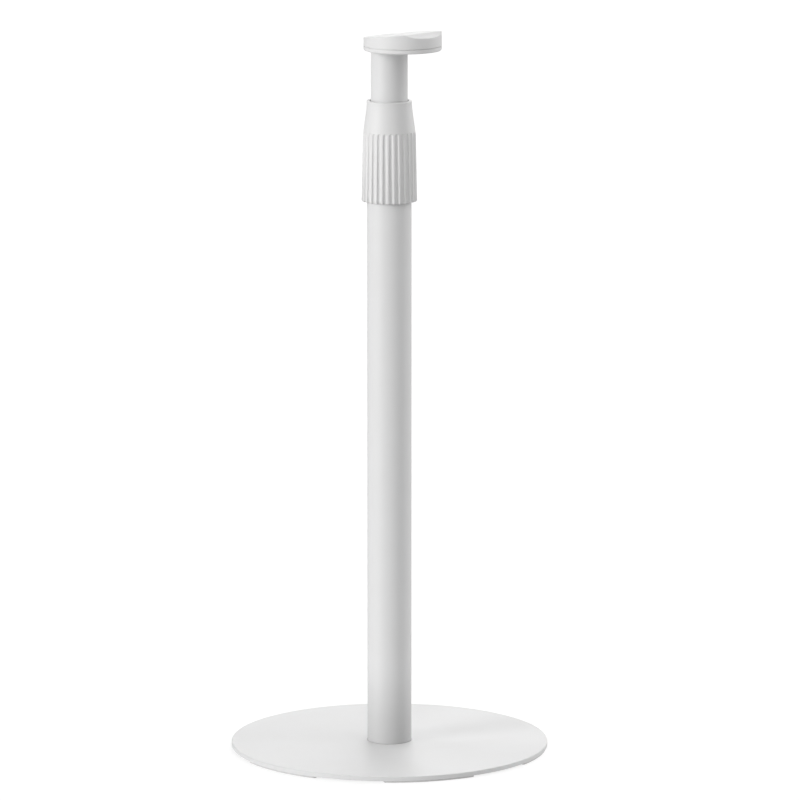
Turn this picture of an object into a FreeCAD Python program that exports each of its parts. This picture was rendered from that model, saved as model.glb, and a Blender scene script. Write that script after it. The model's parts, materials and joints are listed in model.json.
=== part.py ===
"""Free-standing, height-adjustable pole for a customer display.

A round steel plate carries an upright tube. A mast slides in the tube and is gripped by a twist
lock at the tube's top. A round, offset head swivels on the mast and takes the display.

Frame: millimetres, origin at the centre of the base on the floor, +Z up, front towards -Y.
Every sub-part is drawn about its own Z axis, starting at its own lowest level, and its Placement
lifts it to its height in the stand.
"""
import FreeCAD, Part
import math
import os
import re

import Sketcher
from FreeCAD import Placement, Rotation, Vector

SIZES = {
    # Base plate and the six curved pads under its rim
    "base_diameter": 360,
    "plate_thickness": 5,
    "plate_top_round": 1,
    "plate_foot_round": 0.4,
    "pad_thickness": 2,
    "pad_outer_radius": 179,
    "pad_width": 18,
    "pad_angle": 34.4,
    "pad_corner_round": 3,
    # Screws that pull the tube's foot plug down on to the plate
    "foot_screw_circle_radius": 15,
    "foot_screw_radius": 3,
    "foot_screw_head_radius": 6,
    "foot_screw_length": 18,
    "foot_screw_key": 4,
    "foot_screw_hole_radius": 3.3,
    "foot_screw_seat_radius": 6.1,
    "plug_thickness": 15,
    "plug_lift": 0.3,
    "plug_chamfer": 1,
    "bumper_radius": 18,
    "bumper_thickness": 2.6,
    # Upright tube
    "tube_diameter": 50,
    "tube_wall": 1.5,
    "tube_length": 680,
    # Gaps between pieces: for a fixed fit, for a running fit and for a loose fit
    "fixed_gap": 0.02,
    "running_gap": 0.05,
    "loose_gap": 0.1,
    # How far a cutting shape runs past the face that it opens
    "overcut": 1,
    # Threaded sleeve round the tube's top
    "sleeve_radius": 26.8,
    "sleeve_drop": 45,
    "sleeve_lip_radius": 23,
    "sleeve_lip": 1.95,
    # Slotted collet that guides and grips the mast
    "collet_skirt": 72.9,
    "collet_flange_radius": 24.95,
    "collet_flange": 3,
    "collet_neck_radius": 22.6,
    "collet_top": 35,
    "slot_width": 2,
    "slot_start": 5,
    "rivet_radius": 2,
    "rivet_length": 5.7,
    "rivet_drop": 32,
    "rivet_inset": 0.2,
    "rivet_chamfer": 0.4,
    # Wedge ring and its snap ring inside the collar
    "lock_rise": 17.4,
    "groove_height": 1.6,
    "groove_radius": 25.9,
    "snap_inner_radius": 24,
    "snap_angle": 325,
    "ring_radius": 24.85,
    "ring_wide_radius": 23.9,
    "ring_narrow_radius": 21.9,
    "ring_height": 17.9,
    "ring_key_width": 1.8,
    "ring_key_tip": 21,
    "ring_key_start": 7,
    # Twist collar
    "collar_drop": 59,
    "collar_height": 113.5,
    "collar_foot_radius": 31.2,
    "collar_kink_radius": 29.72,
    "collar_kink_height": 75,
    "collar_lip_radius": 25.4,
    "collar_lip_height": 107.1,
    "collar_kink_round": 30,
    "collar_neck_round": 40,
    "collar_mouth_round": 1,
    "thread_bore_depth": 74,
    "seal_bore_radius": 23.4,
    "mouth_radius": 22.3,
    "mouth_depth": 3.5,
    "flute_floor_radius": 28.3,
    "flute_round": 2.7,
    "flute_length": 76.8,
    "first_flute_angle": 10,
    # Wiper seal in the collar's mouth
    "seal_flange": 3.95,
    "seal_relief": 0.9,
    "seal_lip_start": 4.6,
    "seal_height": 7.1,
    "seal_chamfer": 0.3,
    # Sliding mast
    "mast_diameter": 41.3,
    "mast_wall": 1.5,
    "mast_rest": 78,
    "glide_height": 40,
    "glide_flange": 3,
    "glide_floor_radius": 17.5,
    "glide_rivet_length": 4.4,
    "glide_rivet_rise": 20,
    # Swivel at the mast's top
    "head_height": 800,
    "head_gap": 0.5,
    "socket_flange": 1.9,
    "socket_depth": 26.6,
    "washer_recess": 0.5,
    "lower_washer_radius": 18.8,
    "upper_washer_radius": 12,
    "upper_washer_thickness": 1,
    "bolt_radius": 4,
    "bolt_hole_radius": 4.1,
    "washer_bore_radius": 4.2,
    "bolt_head_radius": 8,
    "bolt_head": 4,
    "bolt_length": 50,
    "bolt_key": 5,
    "key_depth": 2.2,
    "pin_radius": 2,
    "pin_offset": 14,
    "pin_depth": 9,
    "pin_length": 12.4,
    "pin_hole_radius": 2.2,
    "pin_slot_depth": 3,
    "pin_slot_angle": 340,
    "spring_thickness": 0.8,
    "spring_cone": 0.5,
    "flat_washer_thickness": 1.5,
    "nut_height": 8,
    "nut_width": 13,
    # Head: round plate below, sloping cap above
    "head_radius": 43.75,
    "head_offset": 21.1,
    "head_plate_thickness": 5.3,
    "head_foot_round": 1.5,
    "seam_height": 0.7,
    "seam_depth": 1,
    "seam_chamfer": 0.2,
    "front_screw_aside": 22,
    "front_screw_ahead": 26.3,
    "rear_screw_aside": 33.5,
    "rear_screw_behind": 5.9,
    "cap_screw_radius": 2,
    "cap_screw_head_radius": 4,
    "cap_screw_length": 12,
    "cap_screw_hole_radius": 2.2,
    "cap_screw_seat_radius": 4.1,
    "cap_hole_depth": 9,
    "cap_screw_key": 2.5,
    "cap_boss_radius": 4,
    "cap_height": 12.6,
    "cap_blank_height": 30,
    "cap_wall": 3,
    "slope_rise": 4.9,
    "cap_top_round": 0.8,
    "brow_round": 4,
    "scoop_radius": 36,
    "scoop_ahead": 50,
    "scoop_height": 47.1,
    # Insert for the display's screw, pushed up into a boss under the cap's top
    "insert_radius": 2.8,
    "insert_bore_radius": 1.65,
    "insert_length": 8,
    "insert_groove": 0.3,
    "insert_depth": 2.2,
    "insert_boss_radius": 5.5,
    "insert_boss_length": 10.5,
    "display_hole_radius": 2.2,
}

PAD_COUNT = 6
FLUTE_COUNT = 28
FOOT_SCREW_COUNT = 4
RIVET_COUNT = 3
SLOT_COUNT = 6
KEY_COUNT = 2
SPRING_COUNT = 4

# Smallest difference in a length or a volume that counts
TOLERANCE = 1e-3

# Radii and levels that several sub-parts share, worked out from the sizes
PLATE_TOP = "(pad_thickness + plate_thickness)"
TUBE_RADIUS = "(tube_diameter / 2)"
TUBE_BORE = "(tube_diameter / 2 - tube_wall)"
TUBE_TOP = "(pad_thickness + plate_thickness + tube_length)"
MAST_RADIUS = "(mast_diameter / 2)"
MAST_BORE = "(mast_diameter / 2 - mast_wall)"
GUIDE_BORE = "(mast_diameter / 2 + running_gap)"
MAST_TOP = "(head_height - head_gap - socket_flange - fixed_gap)"
SOCKET_FOOT = "(head_height - head_gap - socket_flange - socket_depth)"
SPRING_FOOT = "(%s - %d * (spring_cone + spring_thickness + fixed_gap))" % (SOCKET_FOOT, SPRING_COUNT)
CAP_FOOT = "(head_height + head_plate_thickness + fixed_gap)"
BOLT_SEAT = "(head_height + head_plate_thickness + upper_washer_thickness + 2 * fixed_gap)"
RIVET_HOLE = "(rivet_radius + running_gap)"

doc = FreeCAD.newDocument("CustomerPole")
sheet = doc.addObject("Spreadsheet::Sheet", "Sizes")
for row, (alias, value) in enumerate(SIZES.items(), start=1):
    sheet.set("A%d" % row, alias)
    sheet.set("B%d" % row, str(value))
    sheet.setAlias("B%d" % row, alias)
doc.recompute()

sub_parts = []


# ---------------------------------------------------------------- helpers

def formula(text):
    """Point every alias in a formula at its cell of the sheet."""
    return re.sub("[a-z_]+", lambda word: "Sizes." + word[0] if word[0] in SIZES else word[0], text)


def bind(thing, prop, text):
    """Tie a property of an object to a formula."""
    thing.setExpression(prop, formula(text))


def add_body(name):
    """Start a PartDesign body."""
    return doc.addObject("PartDesign::Body", name)


def keep(thing, name, level="0"):
    """List a finished object as a sub-part and lift it to its level in the stand."""
    thing.Label = name
    bind(thing, "Placement.Base.z", level)
    sub_parts.append(thing)
    return thing


def origin_feature(body, role):
    """Return the plane or axis of a body's own origin that has the given role."""
    return next(item for item in body.Origin.OriginFeatures if item.Role == role)


def add_sketch(body, plane, level=None):
    """Add a sketch on one of the body's origin planes, or parallel to it at a level."""
    sketch = body.newObject("Sketcher::SketchObject", body.Name + "Sketch")
    sketch.AttachmentSupport = (origin_feature(body, plane), [""])
    sketch.MapMode = "FlatFace"
    if level:
        bind(sketch, "AttachmentOffset.Base.z", level)
    return sketch


def tie(sketch, kind, text, *place):
    """Add one dimension to a sketch and tie it to a formula."""
    index = sketch.addConstraint(Sketcher.Constraint(kind, *place, 1.0))
    bind(sketch, "Constraints[%d]" % index, text)


def draw_outline(sketch, corners):
    """Draw a closed outline of straight edges through corners given as pairs of formulas."""
    count = len(corners)
    start = [Vector(math.cos(turn), math.sin(turn), 0)
             for turn in (2 * math.pi * index / count for index in range(count))]
    for index in range(count):
        sketch.addGeometry(Part.LineSegment(start[index], start[(index + 1) % count]), False)
    for index in range(count):
        sketch.addConstraint(Sketcher.Constraint("Coincident", index, 2, (index + 1) % count, 1))
    for index, (across, along) in enumerate(corners):
        tie(sketch, "DistanceX", across, -1, 1, index, 1)
        tie(sketch, "DistanceY", along, -1, 1, index, 1)


def draw_circle(sketch, across, along, radius):
    """Draw a circle with its centre and radius given as formulas."""
    index = sketch.addGeometry(Part.Circle(Vector(1, 1, 0), Vector(0, 0, 1), 1), False)
    tie(sketch, "DistanceX", across, -1, 1, index, 3)
    tie(sketch, "DistanceY", along, -1, 1, index, 3)
    tie(sketch, "Radius", radius, index)


def draw_hexagon(sketch, width):
    """Draw a regular hexagon about the origin, given its width across flats."""
    corner = width + " / sqrt(3)"
    half = width + " / sqrt(12)"
    flat = width + " / 2"
    draw_outline(sketch, [
        (corner, "0"), (half, flat), ("-" + half, flat),
        ("-" + corner, "0"), ("-" + half, "-" + flat), (half, "-" + flat),
    ])


def turn_solid(body, corners, angle="360", plane="XZ_Plane"):
    """Turn an outline of radius and height about the body's Z axis."""
    sketch = add_sketch(body, plane)
    draw_outline(sketch, corners)
    solid = body.newObject("PartDesign::Revolution", body.Name + "Turned")
    solid.Profile = sketch
    solid.ReferenceAxis = (sketch, ["V_Axis"])
    solid.Midplane = True
    bind(solid, "Angle", angle)
    doc.recompute()
    return solid


def pad(body, sketch, length, both_sides=False):
    """Raise a sketch into a solid."""
    solid = body.newObject("PartDesign::Pad", body.Name + "Pad")
    solid.Profile = sketch
    solid.Midplane = both_sides
    bind(solid, "Length", length)
    doc.recompute()
    return solid


def cut_back(body, cut, before):
    """Recompute a cut and make sure that it took material away."""
    doc.recompute()
    if not body.Shape.Volume < before - TOLERANCE:
        raise RuntimeError("%s takes nothing away" % cut.Name)
    return cut


def pocket(body, sketch, length, side):
    """Cut a sketch out of the body: along the plane's normal, against it, or both ways."""
    before = body.Shape.Volume
    cut = body.newObject("PartDesign::Pocket", body.Name + "Pocket")
    cut.Profile = sketch
    cut.Midplane = side == "both"
    cut.Reversed = side == "along"
    bind(cut, "Length", length)
    return cut_back(body, cut, before)


def repeat_around(body, feature, count):
    """Repeat a feature evenly about the body's Z axis."""
    before = body.Shape.Volume
    pattern = body.newObject("PartDesign::PolarPattern", body.Name + "Pattern")
    pattern.Originals = [feature]
    pattern.Axis = (origin_feature(body, "Z_Axis"), [""])
    pattern.Angle = 360
    bind(pattern, "Occurrences", str(count))
    body.Tip = pattern
    doc.recompute()
    if abs(body.Shape.Volume - before) < TOLERANCE:
        raise RuntimeError("%s repeats nothing" % pattern.Name)
    return pattern


def round_edges(body, radius, chosen, kind="Fillet", prop="Radius"):
    """Round or chamfer the edges of the body's tip that a test chooses."""
    base = body.Tip
    names = ["Edge%d" % number for number, edge in enumerate(base.Shape.Edges, start=1) if chosen(edge)]
    feature = body.newObject("PartDesign::" + kind, body.Name + kind)
    feature.Base = (base, names)
    bind(feature, prop, radius)
    doc.recompute()
    return feature


def is_upright(edge):
    """Whether an edge runs straight up."""
    box = edge.BoundBox
    return box.ZLength > TOLERANCE and box.DiagonalLength - box.ZLength < TOLERANCE


def ring_edge(radius, height):
    """Make a test for a level circular edge with a given radius and height."""
    def chosen(edge):
        curve = edge.Curve
        return (curve.TypeId == "Part::GeomCircle" and abs(curve.Radius - radius) < TOLERANCE
                and abs(curve.Center.z - height) < TOLERANCE)
    return chosen


def size(alias):
    """Read a size from the sheet."""
    return float(sheet.get(alias))


def drill_around(body, height, radius, count):
    """Drill radial holes through a wall, evenly about the Z axis, the first one towards +X."""
    sketch = add_sketch(body, "YZ_Plane")
    draw_circle(sketch, "0", height, radius)
    repeat_around(body, pocket(body, sketch, "tube_diameter", "along"), count)


def countersink(body, places, radius, head_radius):
    """Drill countersunk holes up through the body from its underside."""
    sketch = add_sketch(body, "XY_Plane")
    for across, along in places:
        draw_circle(sketch, across, along, radius)
    doc.recompute()
    before = body.Shape.Volume
    hole = body.newObject("PartDesign::Hole", body.Name + "Hole")
    hole.Profile = sketch
    doc.recompute()
    hole.Reversed = True
    hole.Threaded = False
    hole.DepthType = "ThroughAll"
    hole.HoleCutType = "Countersink"
    hole.HoleCutCustomValues = True
    hole.HoleCutCountersinkAngle = 90
    bind(hole, "Diameter", "2 * (%s)" % radius)
    bind(hole, "HoleCutDiameter", "2 * (%s)" % head_radius)
    cut_back(body, hole, before)


def copies(name, source, placements):
    """Group linked copies of one fastener, each at its own placement."""
    links = []
    for placement in placements:
        link = doc.addObject("App::Link", name + "Copy")
        link.LinkedObject = source
        link.LinkTransform = False
        link.Placement = placement
        links.append(link)
    group = doc.addObject("Part::Compound", name)
    group.Links = links
    return group


def cylinder(name, radius, height, placement):
    """A Part cylinder whose radius and height are formulas."""
    solid = doc.addObject("Part::Cylinder", name)
    bind(solid, "Radius", radius)
    bind(solid, "Height", height)
    solid.Placement = placement
    return solid


def cut_with(name, base, tool):
    """Cut one object out of another."""
    cut = doc.addObject("Part::Cut", name)
    cut.Base = base
    cut.Tool = tool
    doc.recompute()
    if not cut.Shape.Volume < base.Shape.Volume - TOLERANCE:
        raise RuntimeError("%s takes nothing away" % name)
    return cut


def upright_copies(name, source, places):
    """Group copies of an upright fastener at the given places."""
    return copies(name, source, [Placement(Vector(x, y, 0), Rotation()) for x, y in places])


def radial_copies(name, source, inner_radius, count):
    """Group copies of a fastener that point outwards, evenly about the Z axis."""
    outwards = Rotation(Vector(0, 1, 0), 90)
    placements = []
    for index in range(count):
        around = Rotation(Vector(0, 0, 1), 360 * index / count)
        spot = around.multVec(Vector(inner_radius, 0, 0))
        placements.append(Placement(spot, around.multiply(outwards)))
    return copies(name, source, placements)


def countersunk_screw(name, shank, head, length, key):
    """A countersunk screw with its head down: the flat of the head is at height 0."""
    body = add_body(name)
    turn_solid(body, [
        ("0", "0"), (head, "0"), (shank, "%s - %s" % (head, shank)), (shank, length), ("0", length),
    ])
    sketch = add_sketch(body, "XY_Plane")
    draw_hexagon(sketch, key)
    pocket(body, sketch, "key_depth", "along")
    return body


def plain_ring(name, inner, outer, height, angle="360"):
    """A ring of square section."""
    body = add_body(name)
    turn_solid(body, [(inner, "0"), (outer, "0"), (outer, height), (inner, height)], angle)
    return body


# ---------------------------------------------------------------- base

def foot_screw_places():
    """Places of the foot screws, on their circle, turned 45 degrees off the axes."""
    reach = size("foot_screw_circle_radius")
    turns = [math.radians(45 + 360 * index / FOOT_SCREW_COUNT) for index in range(FOOT_SCREW_COUNT)]
    return [(reach * math.cos(turn), reach * math.sin(turn)) for turn in turns]


def foot_screw_corner_formulas():
    """The same places as formulas for a sketch."""
    side = "foot_screw_circle_radius / sqrt(2)"
    return [(side, side), ("-" + side, side), ("-" + side, "-" + side), (side, "-" + side)]


def base_plate():
    body = add_body("BasePlate")
    rim = "base_diameter / 2"
    turn_solid(body, [("0", "0"), (rim, "0"), (rim, "plate_thickness"), ("0", "plate_thickness")])
    rim_radius = size("base_diameter") / 2
    round_edges(body, "plate_top_round", ring_edge(rim_radius, size("plate_thickness")))
    round_edges(body, "plate_foot_round", ring_edge(rim_radius, 0))
    countersink(body, foot_screw_corner_formulas(), "foot_screw_hole_radius", "foot_screw_seat_radius")
    keep(body, "base_plate", "pad_thickness")


def foot_pads():
    """Six curved pads, the first one centred towards +X."""
    inner = "pad_outer_radius - pad_width"
    for index in range(PAD_COUNT):
        body = plain_ring("FootPad%d" % (index + 1), inner, "pad_outer_radius", "pad_thickness", "pad_angle")
        round_edges(body, "pad_corner_round", is_upright)
        body.Placement = Placement(Vector(), Rotation(Vector(0, 0, 1), 360 * index / PAD_COUNT))
        keep(body, "foot_pad_%d" % (index + 1))


def base_screws():
    screw = countersunk_screw("FootScrew", "foot_screw_radius - running_gap", "foot_screw_head_radius",
                              "foot_screw_length", "foot_screw_key")
    group = upright_copies("BaseScrews", screw, foot_screw_places())
    keep(group, "base_screws", "pad_thickness + running_gap")


def foot_plug():
    body = add_body("FootPlug")
    rim = TUBE_BORE + " - fixed_gap"
    shoulder = rim + " - plug_chamfer"
    turn_solid(body, [
        ("0", "0"), (shoulder, "0"), (rim, "plug_chamfer"), (rim, "plug_thickness"), ("0", "plug_thickness"),
    ])
    sketch = add_sketch(body, "XY_Plane")
    for across, along in foot_screw_corner_formulas():
        draw_circle(sketch, across, along, "foot_screw_radius")
    pocket(body, sketch, "plug_thickness", "along")
    keep(body, "foot_plug", PLATE_TOP + " + plug_lift")


def bumper():
    body = plain_ring("Bumper", "bolt_radius", "bumper_radius", "bumper_thickness")
    round_edges(body, "plate_top_round", ring_edge(size("bumper_radius"), size("bumper_thickness")))
    keep(body, "bumper", PLATE_TOP + " + plug_lift + plug_thickness + fixed_gap")


# ---------------------------------------------------------------- upright tube and its lock

def outer_tube():
    body = plain_ring("OuterTube", TUBE_BORE, TUBE_RADIUS, "tube_length")
    drill_around(body, "tube_length - rivet_drop", RIVET_HOLE, RIVET_COUNT)
    keep(body, "outer_tube", PLATE_TOP)


def threaded_sleeve():
    body = add_body("ThreadedSleeve")
    bore = TUBE_RADIUS + " + fixed_gap"
    lip_foot = "sleeve_drop + collet_flange + running_gap"
    top = lip_foot + " + sleeve_lip"
    turn_solid(body, [
        (bore, "0"), ("sleeve_radius", "0"), ("sleeve_radius", top),
        ("sleeve_lip_radius", top), ("sleeve_lip_radius", lip_foot), (bore, lip_foot),
    ])
    drill_around(body, "sleeve_drop - rivet_drop", RIVET_HOLE, RIVET_COUNT)
    keep(body, "threaded_sleeve", TUBE_TOP + " - sleeve_drop")


def collet():
    body = add_body("Collet")
    skirt = TUBE_BORE + " - running_gap"
    flange_top = "collet_skirt + collet_flange"
    wedge_foot = "collet_skirt + lock_rise + groove_height + 2 * running_gap"
    wedge_rise = "(collet_top - lock_rise - groove_height - running_gap)"
    wedge_draw = "(ring_wide_radius - ring_narrow_radius)"
    wedge_top = "ring_wide_radius - %s * %s / ring_height" % (wedge_draw, wedge_rise)
    turn_solid(body, [
        (GUIDE_BORE, "0"), (skirt, "0"), (skirt, "collet_skirt + fixed_gap"),
        ("collet_flange_radius", "collet_skirt + fixed_gap"), ("collet_flange_radius", flange_top),
        ("collet_neck_radius", flange_top), ("collet_neck_radius", wedge_foot),
        ("ring_wide_radius - running_gap", wedge_foot),
        (wedge_top + " - running_gap", "collet_skirt + collet_top"),
        (GUIDE_BORE, "collet_skirt + collet_top"),
    ])
    drill_around(body, "collet_skirt - rivet_drop", RIVET_HOLE, RIVET_COUNT)
    sketch = add_sketch(body, "YZ_Plane")
    side = "slot_width / 2"
    foot = "collet_skirt + slot_start"
    top = "collet_skirt + collet_top + overcut"
    draw_outline(sketch, [("-" + side, foot), (side, foot), (side, top), ("-" + side, top)])
    repeat_around(body, pocket(body, sketch, "tube_diameter", "along"), SLOT_COUNT)
    keep(body, "collet", TUBE_TOP + " - collet_skirt")


def rivet(name, length):
    """A plain rivet with its two ends chamfered."""
    body = add_body(name)
    turn_solid(body, [
        ("0", "0"), ("rivet_radius - rivet_chamfer", "0"), ("rivet_radius", "rivet_chamfer"),
        ("rivet_radius", length + " - rivet_chamfer"), ("rivet_radius - rivet_chamfer", length),
        ("0", length),
    ])
    return body


def sleeve_rivets():
    inner = size("sleeve_radius") - size("rivet_length") - size("rivet_inset")
    group = radial_copies("SleeveRivets", rivet("SleeveRivet", "rivet_length"), inner, RIVET_COUNT)
    keep(group, "sleeve_rivets", TUBE_TOP + " - rivet_drop")


def clamp_ring():
    body = add_body("ClampRing")
    turn_solid(body, [
        ("ring_wide_radius", "0"), ("ring_radius", "0"), ("ring_radius", "ring_height"),
        ("ring_narrow_radius", "ring_height"),
    ])
    sketch = add_sketch(body, "XZ_Plane")
    draw_outline(sketch, [
        ("ring_key_tip", "ring_key_start"), ("ring_wide_radius", "ring_key_start"),
        ("ring_wide_radius", "ring_height"), ("ring_key_tip", "ring_height"),
    ])
    repeat_around(body, pad(body, sketch, "ring_key_width", both_sides=True), KEY_COUNT)
    keep(body, "clamp_ring", TUBE_TOP + " + lock_rise + groove_height + running_gap")


def retaining_ring():
    body = plain_ring("RetainingRing", "snap_inner_radius", "groove_radius - running_gap",
                      "groove_height - 2 * running_gap", "snap_angle")
    keep(body, "retaining_ring", TUBE_TOP + " + lock_rise + running_gap")


def flute_cutter():
    """An upright cutter with a round nose at its top end."""
    shaft = cylinder("FluteShaft", "flute_round", "flute_length + overcut", Placement())
    nose = doc.addObject("Part::Sphere", "FluteNose")
    bind(nose, "Radius", "flute_round")
    bind(nose, "Placement.Base.z", "flute_length + overcut")
    cutter = doc.addObject("Part::Fuse", "FluteCutter")
    cutter.Base = shaft
    cutter.Tool = nose
    doc.recompute()
    return cutter


def twist_collar():
    """Plain cone above, flutes below. The flutes' floor is upright, so they get shallower up the cone."""
    body = add_body("TwistCollar")
    thread_bore = "sleeve_radius + running_gap"
    ring_bore = "ring_radius + running_gap"
    groove_foot = "collar_drop + lock_rise"
    groove_top = groove_foot + " + groove_height"
    ring_bore_top = groove_top + " + ring_height + 2 * running_gap"
    seal_bore_top = "collar_height - mouth_depth"
    turn_solid(body, [
        (thread_bore, "0"), ("collar_foot_radius", "0"), ("collar_kink_radius", "collar_kink_height"),
        ("collar_lip_radius", "collar_lip_height"), ("collar_lip_radius", "collar_height"),
        ("mouth_radius", "collar_height"), ("mouth_radius", seal_bore_top),
        ("seal_bore_radius", seal_bore_top), ("seal_bore_radius", ring_bore_top),
        (ring_bore, ring_bore_top), (ring_bore, groove_top),
        ("groove_radius", groove_top), ("groove_radius", groove_foot), (ring_bore, groove_foot),
        (ring_bore, "thread_bore_depth"), (thread_bore, "thread_bore_depth"),
    ])
    round_edges(body, "collar_kink_round", ring_edge(size("collar_kink_radius"), size("collar_kink_height")))
    round_edges(body, "collar_neck_round", ring_edge(size("collar_lip_radius"), size("collar_lip_height")))
    round_edges(body, "collar_mouth_round", ring_edge(size("collar_lip_radius"), size("collar_height")))
    reach = size("flute_floor_radius") + size("flute_round")
    start = math.radians(size("first_flute_angle"))
    turns = [start + 2 * math.pi * index / FLUTE_COUNT for index in range(FLUTE_COUNT)]
    places = [Vector(reach * math.cos(turn), reach * math.sin(turn), -size("overcut")) for turn in turns]
    flutes = copies("Flutes", flute_cutter(), [Placement(place, Rotation()) for place in places])
    collar = cut_with("TwistCollarFluted", body, flutes)
    keep(collar, "twist_collar", TUBE_TOP + " - collar_drop")


def wiper_seal():
    body = add_body("WiperSeal")
    relief = GUIDE_BORE + " + seal_relief"
    flange = "seal_bore_radius - running_gap"
    rim = "mouth_radius - running_gap"
    turn_solid(body, [
        (relief, "0"), (flange, "0"), (flange, "seal_flange"), (rim, "seal_flange"),
        (rim, "seal_height - seal_chamfer"), (rim + " - seal_chamfer", "seal_height"),
        (GUIDE_BORE, "seal_height"), (GUIDE_BORE, "seal_lip_start"), (relief, "seal_flange - seal_relief"),
    ])
    step = " - collar_drop + collar_height - mouth_depth"
    keep(body, "wiper_seal", TUBE_TOP + step + " - seal_flange - running_gap")


# ---------------------------------------------------------------- sliding mast

def inner_tube():
    length = MAST_TOP + " - mast_rest"
    body = plain_ring("InnerTube", MAST_BORE, MAST_RADIUS, length)
    drill_around(body, "glide_rivet_rise", RIVET_HOLE, RIVET_COUNT)
    keep(body, "inner_tube", "mast_rest")


def lower_glide():
    """A nylon shoe round the foot of the mast, with a floor under the tube's end."""
    body = add_body("LowerGlide")
    outside = TUBE_BORE + " - running_gap"
    inside = MAST_RADIUS + " + fixed_gap"
    top = "glide_flange + glide_height"
    turn_solid(body, [
        ("glide_floor_radius", "0"), (outside, "0"), (outside, top), (inside, top),
        (inside, "glide_flange"), ("glide_floor_radius", "glide_flange"),
    ])
    drill_around(body, "glide_flange + fixed_gap + glide_rivet_rise", RIVET_HOLE, RIVET_COUNT)
    keep(body, "lower_glide", "mast_rest - glide_flange - fixed_gap")


def glide_rivets():
    outer = size("tube_diameter") / 2 - size("tube_wall") - size("rivet_inset")
    inner = outer - size("glide_rivet_length")
    group = radial_copies("GlideRivets", rivet("GlideRivet", "glide_rivet_length"), inner, RIVET_COUNT)
    keep(group, "glide_rivets", "mast_rest + glide_rivet_rise")


def swivel_socket():
    """Plug in the mast's top: the swivel bolt passes through it and a washer lies in its top."""
    body = add_body("SwivelSocket")
    plug = MAST_BORE + " - fixed_gap"
    recess = "lower_washer_radius + running_gap"
    top = "socket_depth + socket_flange"
    recess_floor = top + " - washer_recess"
    turn_solid(body, [
        ("bolt_hole_radius", "0"), (plug, "0"), (plug, "socket_depth"), (MAST_RADIUS, "socket_depth"),
        (MAST_RADIUS, top), (recess, top), (recess, recess_floor), ("bolt_hole_radius", recess_floor),
    ])
    sketch = add_sketch(body, "XY_Plane", recess_floor)
    draw_circle(sketch, "0", "pin_offset", "pin_radius")
    pocket(body, sketch, "pin_depth", "against")
    keep(body, "swivel_socket", SOCKET_FOOT)


def stop_pin():
    """Upright pin behind the swivel bolt that ends the head's turn."""
    body = add_body("StopPin")
    sketch = add_sketch(body, "XY_Plane")
    draw_circle(sketch, "0", "pin_offset", "pin_radius - fixed_gap")
    pad(body, sketch, "pin_length")
    keep(body, "stop_pin", "head_height - head_gap - washer_recess - pin_depth + running_gap")


def lower_friction_washer():
    body = plain_ring("LowerWasher", "washer_bore_radius", "lower_washer_radius",
                      "washer_recess + head_gap - 2 * fixed_gap")
    sketch = add_sketch(body, "XY_Plane")
    draw_circle(sketch, "0", "pin_offset", "pin_hole_radius")
    pocket(body, sketch, "washer_recess + head_gap", "along")
    keep(body, "friction_washer_lower", "head_height - head_gap - washer_recess + fixed_gap")


def upper_friction_washer():
    body = plain_ring("UpperWasher", "washer_bore_radius", "upper_washer_radius",
                      "upper_washer_thickness")
    keep(body, "friction_washer_upper", CAP_FOOT)


def swivel_bolt():
    body = add_body("SwivelBolt")
    top = "bolt_length + bolt_head"
    turn_solid(body, [
        ("0", "0"), ("bolt_radius", "0"), ("bolt_radius", "bolt_length"),
        ("bolt_head_radius", "bolt_length"), ("bolt_head_radius", top), ("0", top),
    ])
    sketch = add_sketch(body, "XY_Plane", top)
    draw_hexagon(sketch, "bolt_key")
    pocket(body, sketch, "key_depth", "against")
    keep(body, "swivel_bolt", BOLT_SEAT + " - bolt_length")


def disc_springs():
    """A stack of coned spring washers, alternately upright and upside down."""
    spring = add_body("DiscSpring")
    turn_solid(spring, [
        ("bolt_hole_radius", "spring_cone"), ("bolt_head_radius", "0"),
        ("bolt_head_radius", "spring_thickness"),
        ("bolt_hole_radius", "spring_cone + spring_thickness"),
    ])
    height = size("spring_cone") + size("spring_thickness")
    step = height + size("fixed_gap")
    flipped = Rotation(Vector(1, 0, 0), 180)
    placements = []
    for index in range(SPRING_COUNT):
        upright = Placement(Vector(0, 0, index * step), Rotation())
        upturned = Placement(Vector(0, 0, index * step + height), flipped)
        placements.append(upturned if index % 2 else upright)
    group = copies("DiscSprings", spring, placements)
    keep(group, "disc_springs", SPRING_FOOT)


def under_springs(drop):
    """Level of a piece whose foot lies a given drop below the spring stack."""
    return "%s - fixed_gap - (%s)" % (SPRING_FOOT, drop)


def spring_washer():
    body = plain_ring("SpringWasher", "bolt_hole_radius", "bolt_head_radius", "flat_washer_thickness")
    keep(body, "spring_washer", under_springs("flat_washer_thickness"))


def lock_nut():
    body = add_body("LockNut")
    sketch = add_sketch(body, "XY_Plane")
    draw_hexagon(sketch, "nut_width")
    pad(body, sketch, "nut_height")
    bore = add_sketch(body, "XY_Plane")
    draw_circle(bore, "0", "0", "bolt_radius + fixed_gap")
    pocket(body, bore, "nut_height", "along")
    keep(body, "lock_nut", under_springs("flat_washer_thickness + nut_height + fixed_gap"))


# ---------------------------------------------------------------- head

def cap_screw_places():
    """Formulas for the cap screws: two ahead of the head's centre, two behind it, beside the mast."""
    front = "-head_offset - front_screw_ahead"
    rear = "-head_offset + rear_screw_behind"
    return [
        ("front_screw_aside", front), ("-front_screw_aside", front),
        ("rear_screw_aside", rear), ("-rear_screw_aside", rear),
    ]


def cap_screw_spots():
    """The same places as numbers."""
    front = -size("head_offset") - size("front_screw_ahead")
    rear = -size("head_offset") + size("rear_screw_behind")
    return [(side * size(aside), y) for aside, y in (("front_screw_aside", front), ("rear_screw_aside", rear))
            for side in (1, -1)]


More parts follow.
